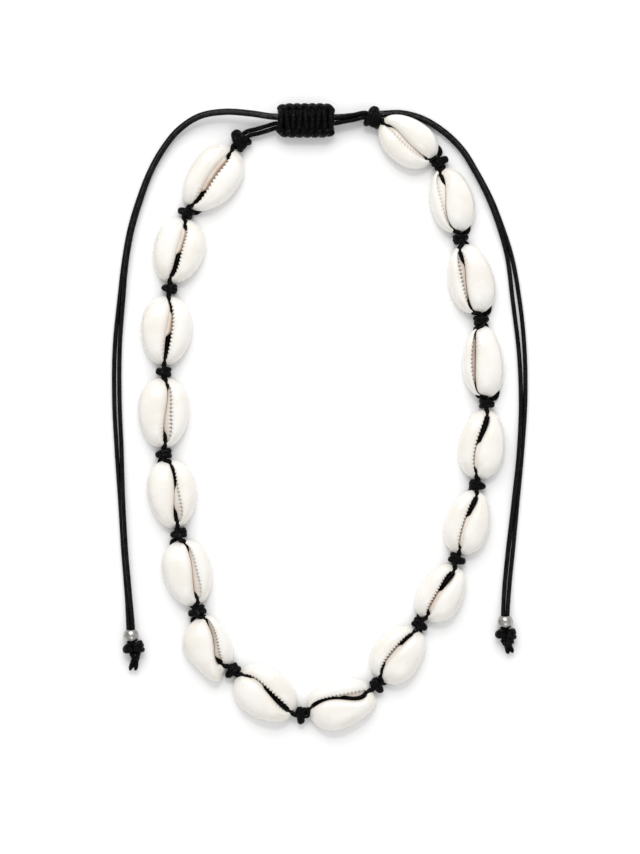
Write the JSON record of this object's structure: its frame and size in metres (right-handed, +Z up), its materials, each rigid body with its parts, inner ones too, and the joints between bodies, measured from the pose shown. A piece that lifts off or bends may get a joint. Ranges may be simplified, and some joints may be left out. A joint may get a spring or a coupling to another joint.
{
  "type": "cowrie shell necklace",
  "caption": "Necklace of cut cowrie shells on a doubled waxed cord, with a knot between each two shells, a sliding knot that sets its size and two free tails with a bead at each end.",
  "frame": {"origin": "middle of the box round the necklace without its free tails, on the surface that it rests on", "axes": "+Z up from the surface, towards a person who looks down on it; +Y towards the sliding knot, the back of the neck; +X to the right"},
  "size_m": [0.1124, 0.1688, 0.007],
  "materials": {
    "cowrie_shell": "glossy enamel, off-white, with a tan tint beside the slit",
    "waxed_cord": "black waxed cotton, satin",
    "steel_bead": "polished"
  },
  "bodies": {
    "root": {"shell_01": "cowrie_shell", "shell_02": "cowrie_shell", "shell_03": "cowrie_shell", "shell_04": "cowrie_shell", "shell_05": "cowrie_shell", "shell_06": "cowrie_shell", "shell_07": "cowrie_shell", "shell_08": "cowrie_shell", "shell_09": "cowrie_shell", "shell_10": "cowrie_shell", "shell_11": "cowrie_shell", "shell_12": "cowrie_shell", "shell_13": "cowrie_shell", "shell_14": "cowrie_shell", "shell_15": "cowrie_shell", "shell_16": "cowrie_shell", "shell_17": "cowrie_shell", "knot_00": "waxed_cord", "knot_01": "waxed_cord", "knot_02": "waxed_cord", "knot_03": "waxed_cord", "knot_04": "waxed_cord", "knot_05": "waxed_cord", "knot_06": "waxed_cord", "knot_07": "waxed_cord", "knot_08": "waxed_cord", "knot_09": "waxed_cord", "knot_10": "waxed_cord", "knot_11": "waxed_cord", "knot_12": "waxed_cord", "knot_13": "waxed_cord", "knot_14": "waxed_cord", "knot_15": "waxed_cord", "knot_16": "waxed_cord", "knot_17": "waxed_cord", "left_tail_outer": "waxed_cord", "left_tail_inner": "waxed_cord", "right_tail_outer": "waxed_cord", "right_tail_inner": "waxed_cord", "front_strand": "waxed_cord", "back_strand": "waxed_cord", "left_end_strands": "waxed_cord", "right_end_strands": "waxed_cord", "sliding_knot": "waxed_cord", "left_bead": "steel_bead", "right_bead": "steel_bead", "left_stopper": "waxed_cord", "right_stopper": "waxed_cord"}
  },
  "joints": []
}
